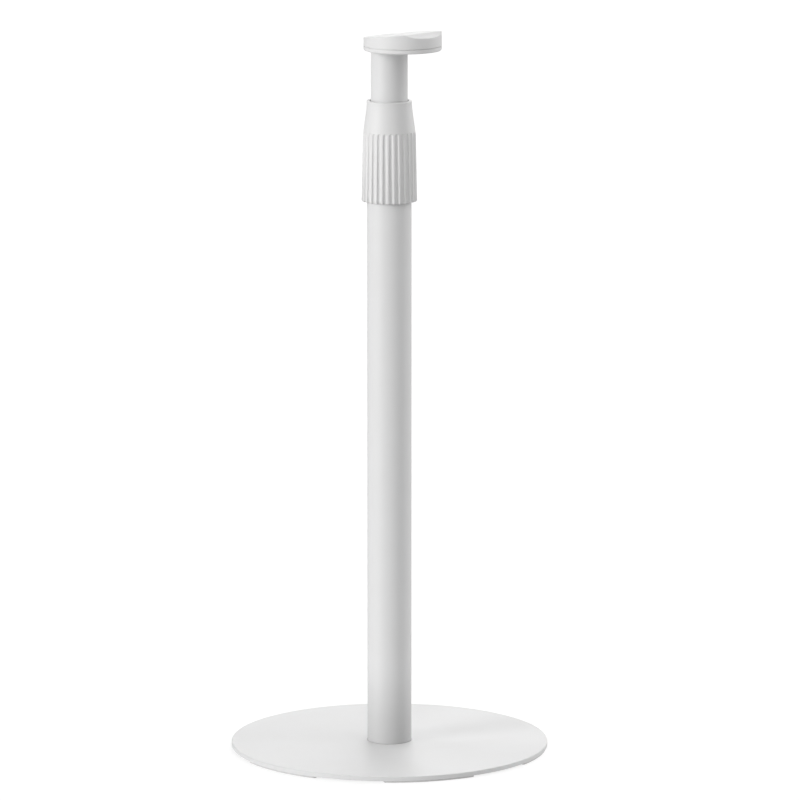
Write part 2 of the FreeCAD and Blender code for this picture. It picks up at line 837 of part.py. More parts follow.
def head_plate():
    """The head's floor: its top is stepped in, which leaves a narrow seam under the cap."""
    body = add_body("HeadPlate")
    sketch = add_sketch(body, "XY_Plane")
    draw_circle(sketch, "0", "-head_offset", "head_radius")
    pad(body, sketch, "head_plate_thickness - seam_height")
    round_edges(body, "head_foot_round", ring_edge(size("head_radius"), 0))
    step = add_sketch(body, "XY_Plane", "head_plate_thickness - seam_height")
    draw_circle(step, "0", "-head_offset", "head_radius - seam_depth")
    pad(body, step, "seam_height")
    bore = add_sketch(body, "XY_Plane")
    draw_circle(bore, "0", "0", "bolt_radius + running_gap")
    pocket(body, bore, "head_plate_thickness", "along")
    before = body.Shape.Volume
    track = add_sketch(body, "YZ_Plane")
    inner = "pin_offset - pin_radius - loose_gap"
    outer = "pin_offset + pin_radius + loose_gap"
    draw_outline(track, [
        (inner, "-overcut"), (outer, "-overcut"), (outer, "pin_slot_depth"), (inner, "pin_slot_depth"),
    ])
    groove = body.newObject("PartDesign::Groove", "PinTrack")
    groove.Profile = track
    groove.ReferenceAxis = (track, ["V_Axis"])
    groove.Midplane = True
    bind(groove, "Angle", "pin_slot_angle")
    cut_back(body, groove, before)
    countersink(body, cap_screw_places(), "cap_screw_hole_radius", "cap_screw_seat_radius")
    keep(body, "head_plate", "head_height")


def wedge(name, radius, height, scoop):
    """The cap's form: a round block with a sloping top and a scoop across its front."""
    body = add_body(name)
    sketch = add_sketch(body, "XY_Plane")
    draw_circle(sketch, "0", "-head_offset", radius)
    pad(body, sketch, "cap_blank_height")
    slope = add_sketch(body, "YZ_Plane")
    back = "-head_offset + 2 * head_radius"
    front = "-head_offset - 2 * head_radius"
    above = "cap_blank_height + overcut"
    draw_outline(slope, [
        (back, height + " - 2 * slope_rise"), (back, above),
        (front, above), (front, height + " + 2 * slope_rise"),
    ])
    pocket(body, slope, "4 * head_radius", "both")
    hollow = add_sketch(body, "YZ_Plane")
    draw_circle(hollow, "-head_offset - scoop_ahead", "scoop_height", scoop)
    pocket(body, hollow, "4 * head_radius", "both")
    return body


def tilt_angle():
    """Angle of the head's sloping top, in degrees."""
    return math.degrees(math.atan(size("slope_rise") / size("head_radius")))


def slope_placement(depth):
    """Placement at the middle of the sloping top, a depth below it, with Z along its normal."""
    tilt = Rotation(Vector(1, 0, 0), -tilt_angle())
    middle = Vector(0, -size("head_offset"), size("cap_height"))
    return Placement(middle - tilt.multVec(Vector(0, 0, depth)), tilt)


def is_brow(edge):
    """Whether an edge is the straight crease between the slope and the scoop."""
    box = edge.BoundBox
    return box.ZMin > TOLERANCE and box.YLength < TOLERANCE and box.XLength > size("head_radius") / 2


def is_top_rim(edge):
    """Whether an edge lies on the cap's outer wall, above its foot."""
    middle = edge.valueAt((edge.FirstParameter + edge.LastParameter) / 2)
    outwards = math.hypot(middle.x, middle.y + size("head_offset"))
    return edge.BoundBox.ZMin > TOLERANCE and abs(outwards - size("head_radius")) < TOLERANCE


def head_cap():
    """A hollow cap with four screw bosses and one boss for the display's insert."""
    outside = wedge("CapOutside", "head_radius", "cap_height", "scoop_radius")
    round_edges(outside, "brow_round", is_brow)
    round_edges(outside, "cap_top_round", is_top_rim)
    round_edges(outside, "seam_chamfer", ring_edge(size("head_radius"), 0), "Chamfer", "Size")
    inside = wedge("CapInside", "head_radius - cap_wall", "cap_height - cap_wall", "scoop_radius + cap_wall")
    shell = cut_with("CapShell", outside, inside)
    within_wall = wedge("CapMiddle", "head_radius - cap_wall / 2", "cap_height - cap_wall / 2",
                        "scoop_radius + cap_wall / 2")
    bosses = [cylinder("InsertBoss", "insert_boss_radius", "insert_boss_length",
                       slope_placement(size("insert_boss_length")))]
    below_boss = slope_placement(size("insert_boss_length") + size("overcut"))
    holes = [
        cylinder("InsertHole", "insert_radius + fixed_gap",
                 "insert_boss_length + overcut - insert_depth", below_boss),
        cylinder("DisplayHole", "display_hole_radius", "insert_boss_length + 2 * overcut", below_boss),
    ]
    for index, (x, y) in enumerate(cap_screw_spots(), start=1):
        upright = Placement(Vector(x, y, 0), Rotation())
        bosses.append(cylinder("CapBoss%d" % index, "cap_boss_radius", "cap_blank_height", upright))
        holes.append(cylinder("CapHole%d" % index, "cap_screw_radius", "cap_hole_depth", upright))
    boss_group = doc.addObject("Part::MultiFuse", "Bosses")
    boss_group.Shapes = bosses
    trimmed = doc.addObject("Part::Common", "TrimmedBosses")
    trimmed.Base = boss_group
    trimmed.Tool = within_wall
    solid = doc.addObject("Part::Fuse", "CapWithBosses")
    solid.Base = shell
    solid.Tool = trimmed
    hole_group = doc.addObject("Part::MultiFuse", "CapHoles")
    hole_group.Shapes = holes
    keep(cut_with("HeadCap", solid, hole_group), "head_cap", CAP_FOOT)


def cap_screws():
    screw = countersunk_screw("CapScrew", "cap_screw_radius - running_gap", "cap_screw_head_radius",
                              "cap_screw_length", "cap_screw_key")
    group = upright_copies("CapScrews", screw, cap_screw_spots())
    keep(group, "cap_screws", "head_height + running_gap")


def display_insert():
    """Brass insert for the display's fixing screw, square to the sloping top and under its skin."""
    body = add_body("DisplayInsert")
    bore = "insert_bore_radius"
    rim = "insert_radius"
    waist = "insert_radius - insert_groove"
    low = "insert_length / 2 - 2 * insert_groove"
    high = "insert_length / 2 + 2 * insert_groove"
    turn_solid(body, [
        (bore, "0"), (rim, "0"), (rim, low), (waist, low), (waist, high), (rim, high),
        (rim, "insert_length"), (bore, "insert_length"),
    ])
    seat = slope_placement(size("insert_depth") + size("insert_length") + size("running_gap"))
    body.Placement = seat
    keep(body, "display_insert", "%s + %.6f" % (CAP_FOOT, seat.Base.z))


SECTIONS = (
    base_plate, foot_pads, base_screws, foot_plug, bumper,
    outer_tube, threaded_sleeve, collet, sleeve_rivets, clamp_ring, retaining_ring, twist_collar, wiper_seal,
    inner_tube, lower_glide, glide_rivets, swivel_socket, stop_pin, lower_friction_washer,
    upper_friction_washer, swivel_bolt, disc_springs, spring_washer, lock_nut,
    head_plate, head_cap, cap_screws, display_insert,
)
for section in SECTIONS:
    section()
doc.recompute()

for thing in doc.Objects:
    if "Invalid" in thing.State or "Error" in thing.State:
        raise RuntimeError("%s did not compute: %s" % (thing.Name, thing.State))
for thing in sub_parts:
    if thing.Shape.isNull() or not thing.Shape.isValid() or not thing.Shape.Solids:
        raise RuntimeError("%s has no valid shape" % thing.Label)

os.makedirs("parts", exist_ok=True)
for thing in sub_parts:
    thing.Shape.exportStep("parts/%s.step" % thing.Label)
    box = thing.Shape.BoundBox
    print("%-24s %2d solid(s) %12.1f mm3  z %8.2f to %8.2f" % (
        thing.Label, len(thing.Shape.Solids), thing.Shape.Volume, box.ZMin, box.ZMax))
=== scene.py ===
"""Looks, light and camera of the pole display stand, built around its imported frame.

Shapes are worked out in millimetres, and MM turns them into metres when a mesh is made. Levels and
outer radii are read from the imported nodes. The sizes named here are those that a node's box doesn't
tell: inner forms, rounded edges, flutes and threads.
"""
import json
import math

import bmesh
import bpy
import numpy as np
from mathutils import Matrix, Vector


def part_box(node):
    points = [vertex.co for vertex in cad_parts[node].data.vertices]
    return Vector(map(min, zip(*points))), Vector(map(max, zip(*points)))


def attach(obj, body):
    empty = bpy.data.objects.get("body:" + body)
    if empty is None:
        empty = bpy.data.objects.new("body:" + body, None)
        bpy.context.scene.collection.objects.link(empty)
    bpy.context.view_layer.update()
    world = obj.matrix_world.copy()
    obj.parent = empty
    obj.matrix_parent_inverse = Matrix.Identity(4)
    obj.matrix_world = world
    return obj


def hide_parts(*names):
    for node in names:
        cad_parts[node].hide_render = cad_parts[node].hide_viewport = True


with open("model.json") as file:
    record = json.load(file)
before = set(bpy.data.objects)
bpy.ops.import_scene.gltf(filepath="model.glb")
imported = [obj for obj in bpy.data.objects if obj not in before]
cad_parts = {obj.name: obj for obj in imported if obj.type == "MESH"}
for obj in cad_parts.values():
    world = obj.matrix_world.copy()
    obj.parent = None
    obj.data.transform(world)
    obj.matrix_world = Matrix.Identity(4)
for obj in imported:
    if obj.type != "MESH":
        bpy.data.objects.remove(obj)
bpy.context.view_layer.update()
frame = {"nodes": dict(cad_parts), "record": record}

MM = 0.001
QUARTER = math.pi / 2
SHARP_ANGLE = math.radians(38)

# Points this close, in metres, are one point, and a circle of less than this radius is one point.
WELD = 1e-7
ON_AXIS = 1e-6

# Sides of a circle, for tubes, the head's discs, holes and threads.
AROUND = 192
DISC_AROUND = 256
HOLE_AROUND = 48
THREAD_AROUND = 40

# How far a cutter runs past the face it cuts.
OVERSHOOT = 1.0

BODIES = frame["record"]["behaviour"]["bodies"]
BODY_OF = {node: body for body, nodes in BODIES.items() for node in nodes}
SLOT_OF = {part["node"]: part["material_slot"] for part in frame["record"]["subparts"]}
SPANS = {node: [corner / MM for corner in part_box(node)] for node in frame["nodes"]}
REPLACED = set()


def low(node, axis="z"):
    """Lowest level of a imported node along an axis, in millimetres."""
    return getattr(SPANS[node][0], axis)


def high(node, axis="z"):
    """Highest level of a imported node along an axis, in millimetres."""
    return getattr(SPANS[node][1], axis)


def reach(node):
    """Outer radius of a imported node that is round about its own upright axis."""
    return (high(node, "x") - low(node, "x")) / 2


# ---------------------------------------------------------------- finishes

# Places of the colour sockets on a mix node, whose sockets share their names between data types.
COLOUR_A = 6
COLOUR_B = 7
COLOUR_RESULT = 2

# The range in which most of a noise texture's values lie.
TEXTURE_LOW = 0.3
TEXTURE_HIGH = 0.7


class Finish:
    """A node material on one Principled shader. Texture sizes are in millimetres of the object."""

    def __init__(self, name, **settings):
        self.material = bpy.data.materials.new(name)
        self.material.use_nodes = True
        self.nodes = self.material.node_tree.nodes
        self.links = self.material.node_tree.links
        self.nodes.clear()
        self.shader = self.nodes.new("ShaderNodeBsdfPrincipled")
        output = self.nodes.new("ShaderNodeOutputMaterial")
        self.links.new(self.shader.outputs["BSDF"], output.inputs["Surface"])
        self.place = self.nodes.new("ShaderNodeTexCoord").outputs["Object"]
        for key, value in settings.items():
            self.shader.inputs[key.replace("_", " ")].default_value = value

    def feed(self, source, target):
        """Join an output to an input, or set the input if the source is a plain value."""
        if isinstance(source, bpy.types.NodeSocket):
            self.links.new(source, target)
        else:
            target.default_value = source

    def noise(self, grain, detail=2.0, stretch=(1, 1, 1)):
        """Cloudy noise whose lumps are about grain millimetres across, drawn out along an axis."""
        mapping = self.nodes.new("ShaderNodeMapping")
        mapping.inputs["Scale"].default_value = stretch
        self.links.new(self.place, mapping.inputs["Vector"])
        texture = self.nodes.new("ShaderNodeTexNoise")
        self.links.new(mapping.outputs["Vector"], texture.inputs["Vector"])
        texture.inputs["Scale"].default_value = 1 / (grain * MM)
        texture.inputs["Detail"].default_value = detail
        return texture.outputs["Fac"]

    def cells(self, grain):
        """Distance inside Voronoi cells of about grain millimetres."""
        texture = self.nodes.new("ShaderNodeTexVoronoi")
        self.links.new(self.place, texture.inputs["Vector"])
        texture.inputs["Scale"].default_value = 1 / (grain * MM)
        return texture.outputs["Distance"]

    def ramp(self, source, lowest, highest, start, end):
        """A node that turns the values from lowest to highest into those from start to end."""
        node = self.nodes.new("ShaderNodeMapRange")
        self.links.new(source, node.inputs["Value"])
        for key, value in (("From Min", lowest), ("From Max", highest), ("To Min", start), ("To Max", end)):
            node.inputs[key].default_value = value
        return node

    def spread(self, source, start=0.0, end=1.0):
        """Turn a texture's middle range into a range of values."""
        return self.ramp(source, TEXTURE_LOW, TEXTURE_HIGH, start, end).outputs["Result"]

    def blend_colours(self, share, first, second):
        """Mix two colours, or two colour outputs, by a share from 0 to 1."""
        node = self.nodes.new("ShaderNodeMix")
        node.data_type = "RGBA"
        self.feed(share, node.inputs["Factor"])
        self.feed(first, node.inputs[COLOUR_A])
        self.feed(second, node.inputs[COLOUR_B])
        return node.outputs[COLOUR_RESULT]

    def calculate(self, operation, *terms):
        """One step of arithmetic on values or outputs."""
        node = self.nodes.new("ShaderNodeMath")
        node.operation = operation
        for term, entry in zip(terms, node.inputs):
            self.feed(term, entry)
        return node.outputs["Value"]

    def add(self, first, second, share):
        """First value plus a share of the second."""
        return self.calculate("MULTIPLY_ADD", second, share, first)

    def pole_foot_shade(self, radius, bottom, top):
        """Mask of the painted shade at the pole's foot: one at the foot, fading to nothing at the top level;
        nothing past the radius.
        """
        split = self.nodes.new("ShaderNodeSeparateXYZ")
        self.links.new(self.place, split.inputs["Vector"])
        fade = self.ramp(split.outputs["Z"], bottom * MM, top * MM, 1, 0)
        fade.interpolation_type = "SMOOTHSTEP"
        flat = self.nodes.new("ShaderNodeCombineXYZ")
        self.links.new(split.outputs["X"], flat.inputs["X"])
        self.links.new(split.outputs["Y"], flat.inputs["Y"])
        across = self.nodes.new("ShaderNodeVectorMath")
        across.operation = "LENGTH"
        self.links.new(flat.outputs["Vector"], across.inputs["Vector"])
        inside = self.calculate("LESS_THAN", across.outputs["Value"], radius * MM)
        return self.calculate("MULTIPLY", fade.outputs["Result"], inside)

    def relief(self, height, depth):
        """Raise the surface by a height texture, depth millimetres from trough to crest."""
        node = self.nodes.new("ShaderNodeBump")
        node.inputs["Distance"].default_value = depth * MM
        node.inputs["Strength"].default_value = 1.0
        self.feed(height, node.inputs["Height"])
        self.links.new(node.outputs["Normal"], self.shader.inputs["Normal"])

    def set(self, **sources):
        """Feed shader inputs from values or outputs."""
        for key, source in sources.items():
            self.feed(source, self.shader.inputs[key.replace("_", " ")])
        return self.material


def shade(value, warmth=0.0):
    """An opaque near-neutral colour: warmth above 0 leans to yellow, below 0 to blue."""
    return (value * (1 + warmth), value, value * (1 - warmth), 1.0)


# Painted shade: the powder coat turns to this darker tone at the pole's foot, inside this radius, fading out
# by this level. It stands in for the shade that falls there.
FOOT_SHADE_RADIUS = 26.0
FOOT_SHADE_TOP = 107.0
FOOT_SHADE_TONE = 0.55


def powder_coat():
    """Satin white powder coat: a slight orange peel over a much finer grain, with painted shade darkening it
    at the pole's foot.
    """
    finish = Finish("powder_coat_white", IOR=1.5)
    peel = finish.noise(grain=2.2, detail=1.0)
    grain = finish.noise(grain=0.35, detail=3.0)
    cloud = finish.spread(finish.noise(grain=45.0))
    speck = finish.calculate("MULTIPLY", finish.spread(grain), 0.35)
    tone = finish.blend_colours(cloud, shade(0.735, warmth=0.002), shade(0.75, warmth=-0.002))
    tone = finish.blend_colours(speck, tone, shade(0.70))
    # Painted shade: the coat's colour is darkened at the pole's foot, where contact shade falls.
    foot = finish.pole_foot_shade(FOOT_SHADE_RADIUS, high("base_plate"), FOOT_SHADE_TOP)
    tone = finish.blend_colours(foot, tone, shade(FOOT_SHADE_TONE))
    finish.relief(finish.add(peel, grain, share=0.35), depth=0.035)
    return finish.set(Base_Color=tone, Roughness=finish.spread(grain, start=0.42, end=0.56))


def white_moulding():
    """White ABS from a spark-eroded mould: a dense pitting of quarter-millimetre craters."""
    finish = Finish("moulding_white", IOR=1.53)
    pits = finish.cells(grain=0.28)
    grain = finish.noise(grain=0.6, detail=3.0)
    cloud = finish.spread(finish.noise(grain=30.0))
    tone = finish.blend_colours(cloud, shade(0.75, warmth=0.004), shade(0.765))
    tone = finish.blend_colours(finish.spread(grain, end=0.25), tone, shade(0.71, warmth=0.004))
    finish.relief(finish.add(pits, grain, share=0.8), depth=0.02)
    return finish.set(Base_Color=tone, Roughness=finish.spread(grain, start=0.44, end=0.58))


def rubber(name, value, worn):
    """Rubber with a dull, slightly dusty skin."""
    finish = Finish(name, IOR=1.5)
    dust = finish.spread(finish.noise(grain=4.0, detail=4.0))
    tone = finish.blend_colours(dust, shade(value, warmth=0.004), shade(worn, warmth=0.01))
    skin = finish.add(finish.noise(grain=0.5, detail=3.0), finish.cells(grain=0.9), share=0.4)
    finish.relief(skin, depth=0.04)
    return finish.set(Base_Color=tone, Roughness=finish.spread(dust, start=0.62, end=0.85))


def nylon():
    """Natural nylon: milky and a little see-through, with flow marks."""
    finish = Finish("nylon_natural", IOR=1.53, Subsurface_Weight=0.35, Subsurface_Scale=0.002)
    flow = finish.spread(finish.noise(grain=6.0, stretch=(1, 1, 0.25)))
    tone = finish.blend_colours(flow, shade(0.74, warmth=0.03), shade(0.66, warmth=0.05))
    finish.relief(finish.noise(grain=0.8, detail=3.0), depth=0.015)
    return finish.set(Base_Color=tone, Roughness=finish.spread(flow, start=0.34, end=0.5))


def plated(name, light, dark, warmth, smooth, rough, grain=0.6):
    """A plated metal whose tone and roughness vary from place to place."""
    finish = Finish(name, Metallic=1.0)
    patch = finish.spread(finish.noise(grain=3.5, detail=3.0))
    lines = finish.noise(grain)
    tone = finish.blend_colours(patch, shade(light, warmth), shade(dark, warmth))
    finish.relief(lines, depth=0.012)
    return finish.set(Base_Color=tone, Roughness=finish.spread(lines, start=smooth, end=rough))


BRIGHT_BRASS = (0.80, 0.60, 0.27, 1.0)
DULL_BRASS = (0.66, 0.47, 0.20, 1.0)


def brass():
    """Turned brass with fine tool lines and faint tarnish."""
    finish = Finish("brass", Metallic=1.0)
    tarnish = finish.spread(finish.noise(grain=1.6, detail=3.0))
    lines = finish.noise(grain=0.25, stretch=(1, 1, 6))
    tone = finish.blend_colours(tarnish, BRIGHT_BRASS, DULL_BRASS)
    finish.relief(lines, depth=0.01)
    return finish.set(Base_Color=tone, Roughness=finish.spread(lines, start=0.24, end=0.4))


FINISHES = {
    "powder_coat_white": powder_coat(),
    "moulding_white": white_moulding(),
    "pad_rubber": rubber("pad_rubber", value=0.62, worn=0.68),
    "seal_rubber": rubber("seal_rubber", value=0.38, worn=0.43),
    "nylon_natural": nylon(),
    "zinc_steel": plated("zinc_steel", light=0.72, dark=0.60, warmth=0.01, smooth=0.22, rough=0.38),
    "spring_steel": plated("spring_steel", light=0.30, dark=0.22, warmth=0.02, smooth=0.35, rough=0.55,
                           grain=0.3),
    "brass": brass(),
}


# ---------------------------------------------------------------- shapes

def rounded(corners, steps=6, support=0.35):
    """Turn (across, up, rounding) corners of a closed outline into points, with arcs at the corners.

    A support point lies just outside each arc's ends, so that flat faces keep their flat shading.
    """
    points = []
    for index, (across, up, rounding) in enumerate(corners):
        corner = Vector((across, up))
        if not rounding:
            points.append(corner)
            continue
        back = (Vector(corners[index - 1][:2]) - corner).normalized()
        ahead = (Vector(corners[(index + 1) % len(corners)][:2]) - corner).normalized()
        half = back.angle(ahead) / 2
        tangent = rounding / math.tan(half)
        centre = corner + (back + ahead).normalized() * rounding / math.sin(half)
        start = corner + back * tangent
        end = corner + ahead * tangent
        points.append(start + back * rounding * support)
        for step in range(steps + 1):
            chord = start.lerp(end, step / steps)
            points.append(centre + (chord - centre).normalized() * rounding)
        points.append(end + ahead * rounding * support)
    return [tuple(point) for point in points]


def ring(radius, level, around=AROUND, centre=(0.0, 0.0)):
    """A level circle of points. A circle of no radius is one point."""
    if radius < ON_AXIS:
        return np.array([[centre[0], centre[1], level]])
    turn = np.arange(around) * 2 * np.pi / around
    return np.stack([centre[0] + radius * np.cos(turn), centre[1] + radius * np.sin(turn),
                     np.full(around, float(level))], axis=1)


def joined_rows(rows, loop):
    """Points and faces of a skin stretched over rows of points. A row of one point closes a fan."""
    starts = np.cumsum([0] + [len(row) for row in rows])
    spans = [(int(starts[index]), len(row)) for index, row in enumerate(rows)]
    pairs = list(zip(spans, spans[1:] + spans[:1])) if loop else list(zip(spans, spans[1:]))
    faces = []
    for (first, first_count), (second, second_count) in pairs:
        around = max(first_count, second_count)
        for place in range(around):
            following = (place + 1) % around
            corners = [first + place % first_count, first + following % first_count,
                       second + following % second_count, second + place % second_count]
            faces.append(list(dict.fromkeys(corners)))
    return np.concatenate(rows), faces


def solid(name, points, faces):
    """A loose mesh object, in metres, with its faces turned outwards."""
    mesh = bpy.data.meshes.new(name)
    mesh.from_pydata([tuple(point) for point in np.asarray(points, float) * MM], [], faces)
    edit = bmesh.new()
    edit.from_mesh(mesh)
    bmesh.ops.remove_doubles(edit, verts=edit.verts, dist=WELD)
    bmesh.ops.recalc_face_normals(edit, faces=edit.faces)
    edit.to_mesh(mesh)
    edit.free()
    thing = bpy.data.objects.new(name, mesh)
    bpy.context.scene.collection.objects.link(thing)
    return thing


def turned(name, outline, centre=(0.0, 0.0), around=AROUND):
    """A solid turned about an upright axis. Its outline starts and ends on the axis, or is a loop."""
    rows = [ring(across, up, around, centre) for across, up in outline]
    return solid(name, *joined_rows(rows, loop=len(rows[0]) > 1))


def prism(name, outline, bottom, top):
    """An upright solid over a flat outline of (x, y) points."""
    rows = [np.array([[x, y, level] for x, y in outline]) for level in (bottom, top)]
    points, faces = joined_rows(rows, loop=False)
    count = len(outline)
    faces += [list(range(count))[::-1], list(range(count, 2 * count))]
    return solid(name, points, faces)


def hexagon(width):
    """Corners of a regular hexagon, given its width across flats."""
    radius = width / 2 / math.cos(math.pi / 6)
    turns = [math.pi * (2 * side + 1) / 6 for side in range(6)]
    return [(radius * math.cos(turn), radius * math.sin(turn)) for turn in turns]


def rod(name, radius, bottom, top, centre=(0.0, 0.0)):
    """A plain upright rod, for a post or a drill."""
    return turned(name, [(0, bottom), (radius, bottom), (radius, top), (0, top)], centre, HOLE_AROUND)


def combine(thing, tool, operation="DIFFERENCE"):
    """Cut, add or intersect one loose solid with another, which is used up."""
    modifier = thing.modifiers.new("combine", "BOOLEAN")
    modifier.operation = operation
    modifier.solver = "EXACT"
    modifier.object = tool
    bpy.context.view_layer.update()
    graph = bpy.context.evaluated_depsgraph_get()
    result = bpy.data.meshes.new_from_object(thing.evaluated_get(graph))
    thing.modifiers.clear()
    thing.data = result
    bpy.data.objects.remove(tool)


def merged(things):
    """Join loose solids that don't touch into one object."""
    edit = bmesh.new()
    for thing in things:
        part = thing.data
        part.transform(thing.matrix_world)
        edit.from_mesh(part)
    for thing in things[1:]:
        bpy.data.objects.remove(thing)
    edit.to_mesh(things[0].data)
    edit.free()
    things[0].matrix_world = Matrix.Identity(4)
    return things[0]


def install(thing, node):
    """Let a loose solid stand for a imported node: on its body, in its finish, smooth but for sharp edges."""
    mesh = thing.data
    mesh.shade_smooth()
    mesh.set_sharp_from_angle(angle=SHARP_ANGLE)
    mesh.materials.clear()
    mesh.materials.append(FINISHES[SLOT_OF[node]])
    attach(thing, BODY_OF[node])
    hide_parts(node)
    REPLACED.add(node)


def level_points(radii, turns, level):
    """Points at given radii and angles, all on one level."""
    return np.stack([radii * np.cos(turns), radii * np.sin(turns), np.full(len(turns), level)], axis=1)


def softly_lower(first, second, softness):
    """The lower of two heights, with the crease between them rounded off."""
    overlap = np.maximum(softness - np.abs(first - second), 0) / softness
    return np.minimum(first, second) - overlap ** 2 * softness / 4


THREAD_SLOPE = 2.8


def thread_ridge(phase):
    """Share of a thread's depth, from 0 at its root to 1 at its crest, at a phase counted in turns."""
    return np.clip(THREAD_SLOPE * (0.5 - np.abs(phase % 1.0 - 0.5)), 0, 1)


# ---------------------------------------------------------------- base

PLATE_TOP_ROUND = 1.0
PLATE_FOOT_ROUND = 0.4
PLATE_RINGS = (60, 120)
PLATE_AROUND = 288
PAD_COUNT = 6
PAD_WIDTH = 18.0
PAD_CORNER = 3.0
PAD_ANGLE = math.radians(34.4)
PAD_EDGE = 0.5
GROOVES_INWARDS = (5.5, 9.0, 12.5)
GROOVE_WIDTH = 1.2
GROOVE_DEPTH = 0.45
GROOVE_ROUND = 0.2
ARC_STEPS = 28
CORNER_STEPS = 6
FOOT_SCREW_ASIDE = 15 / math.sqrt(2)
FOOT_SCREW_SPOTS = [(across * FOOT_SCREW_ASIDE, along * FOOT_SCREW_ASIDE)
                    for across in (1, -1) for along in (1, -1)]


def countersinks(spots, level, depth, shank, head):
    """Cutters for countersunk holes drilled upwards from a level."""
    outline = [
        (0, -OVERSHOOT), (head, -OVERSHOOT), (head, 0), (shank, head - shank), (shank, depth), (0, depth),
    ]
    outline = [(across, level + up) for across, up in outline]
    return merged([turned("countersink", outline, spot, HOLE_AROUND) for spot in spots])


def base_plate():
    """The disc: rounded at its upper and lower edges, with four countersinks in its underside."""
    rim = reach("base_plate")
    bottom = low("base_plate")
    top = high("base_plate")
    outline = [(0, bottom, 0)] + [(across, bottom, 0) for across in PLATE_RINGS]
    outline += [(rim, bottom, PLATE_FOOT_ROUND), (rim, top, PLATE_TOP_ROUND)]
    outline += [(across, top, 0) for across in reversed(PLATE_RINGS)] + [(0, top, 0)]
    plate = turned("base_disc", rounded(outline), around=PLATE_AROUND)
    combine(plate, countersinks(FOOT_SCREW_SPOTS, bottom, depth=10, shank=3.3, head=6.1))
    install(plate, "base_plate")


def pad_outline(outer, inset):
    """One pad's outline, a curved bar with round corners, drawn in by an inset."""
    inner = outer - PAD_WIDTH
    corner = PAD_CORNER - inset
    far = outer - PAD_CORNER
    near = inner + PAD_CORNER
    side = PAD_ANGLE / 2
    far_turn = side - math.asin(PAD_CORNER / far)
    near_turn = side - math.asin(PAD_CORNER / near)
    points = []

    def sweep(centre, radius, start, end, steps=CORNER_STEPS):
        for step in range(steps + 1):
            turn = start + (end - start) * step / steps
            points.append((centre[0] + radius * math.cos(turn), centre[1] + radius * math.sin(turn)))

    def spot(radius, turn):
        return (radius * math.cos(turn), radius * math.sin(turn))

    sweep((0, 0), outer - inset, -far_turn, far_turn, ARC_STEPS)
    sweep(spot(far, far_turn), corner, far_turn, side + QUARTER)
    sweep(spot(near, near_turn), corner, side + QUARTER, math.pi + near_turn)
    sweep((0, 0), inner + inset, near_turn, -near_turn, ARC_STEPS)
    sweep(spot(near, -near_turn), corner, math.pi - near_turn, 3 * QUARTER - side)
    sweep(spot(far, -far_turn), corner, 3 * QUARTER - side, 2 * math.pi - far_turn)
    return points


def foot_pad(index):
    """A moulded rubber pad with a rounded foot and grip grooves along its sole."""
    node = "foot_pad_%d" % (index + 1)
    outer = high("foot_pad_1", "x")
    top = high(node)
    layers = [(PAD_EDGE * (1 - math.cos(turn)), PAD_EDGE * (1 - math.sin(turn)))
              for turn in np.linspace(0, QUARTER, 6)]
    layers.append((top, 0.0))
    rows = [np.array([[x, y, low(node) + up] for x, y in pad_outline(outer, inset)]) for up, inset in layers]
    points, faces = joined_rows(rows, loop=False)
    count = len(rows[0])
    faces += [list(range(count))[::-1], list(range(len(points) - count, len(points)))]
    pad = solid("rubber_pad_%d" % (index + 1), points, faces)
    for inwards in GROOVES_INWARDS:
        inner_side = outer - inwards - GROOVE_WIDTH / 2
        outer_side = outer - inwards + GROOVE_WIDTH / 2
        groove = turned("groove", rounded([
            (inner_side, -OVERSHOOT, 0), (outer_side, -OVERSHOOT, 0),
            (outer_side, GROOVE_DEPTH, GROOVE_ROUND), (inner_side, GROOVE_DEPTH, GROOVE_ROUND),
        ], steps=3))
        combine(pad, groove)
    pad.data.transform(Matrix.Rotation(2 * math.pi * index / PAD_COUNT, 4, "Z"))
    install(pad, node)


# ---------------------------------------------------------------- tubes

TUBE_WALL = 1.5
TUBE_EDGE = 0.35
TUBE_RINGS = 10
RIVET_COUNT = 3
RIVET_HOLE = 2.05
RIVET_REACH = 4
OUTER_RIVETS_DOWN = 32
MAST_RIVETS_UP = 20


def tube(name, node, rivet_level):
    """A welded tube with broken edges and its three rivet holes."""
    outer = reach(node)
    inner = outer - TUBE_WALL
    bottom = low(node)
    top = high(node)
    rings = np.linspace(bottom, top, TUBE_RINGS + 2)[1:-1]
    outline = rounded(
        [(inner, bottom, TUBE_EDGE), (outer, bottom, TUBE_EDGE)] + [(outer, level, 0) for level in rings]
        + [(outer, top, TUBE_EDGE), (inner, top, TUBE_EDGE)] + [(inner, level, 0) for level in rings[::-1]])
    piece = turned(name, outline)
    for index in range(RIVET_COUNT):
        drill = turned("drill", [
            (0, -RIVET_REACH), (RIVET_HOLE, -RIVET_REACH), (RIVET_HOLE, RIVET_REACH), (0, RIVET_REACH),
        ], around=32)
        turn = Matrix.Rotation(2 * math.pi * index / RIVET_COUNT, 4, "Z")
        outwards = turn @ Matrix.Translation((outer * MM, 0, rivet_level * MM))
        drill.matrix_world = outwards @ Matrix.Rotation(QUARTER, 4, "Y")
        combine(piece, drill)
    install(piece, node)


# ---------------------------------------------------------------- twist collar

COLLAR_HEIGHT = 113.5
COLLAR_FOOT = 31.2
COLLAR_KINK = (29.72, 75)
COLLAR_KINK_ROUND = 30
COLLAR_LIP = (25.4, 107.1)
COLLAR_LIP_ROUND = 40
COLLAR_RIM_ROUND = 1.0
COLLAR_FOOT_ROUND = 0.5
RIM_START = 112
RIM_WIDTH = 2.8
MOUTH_BORE = 22.3
MOUTH_START = 110
SEAL_BORE = 23.4
SEAL_START = 96
RING_BORE = 24.9
RING_GROOVE = 25.9
RING_GROOVE_START = 76.4
RING_GROOVE_END = 78
THREAD_END = 74
THREAD_BORE = 26.85

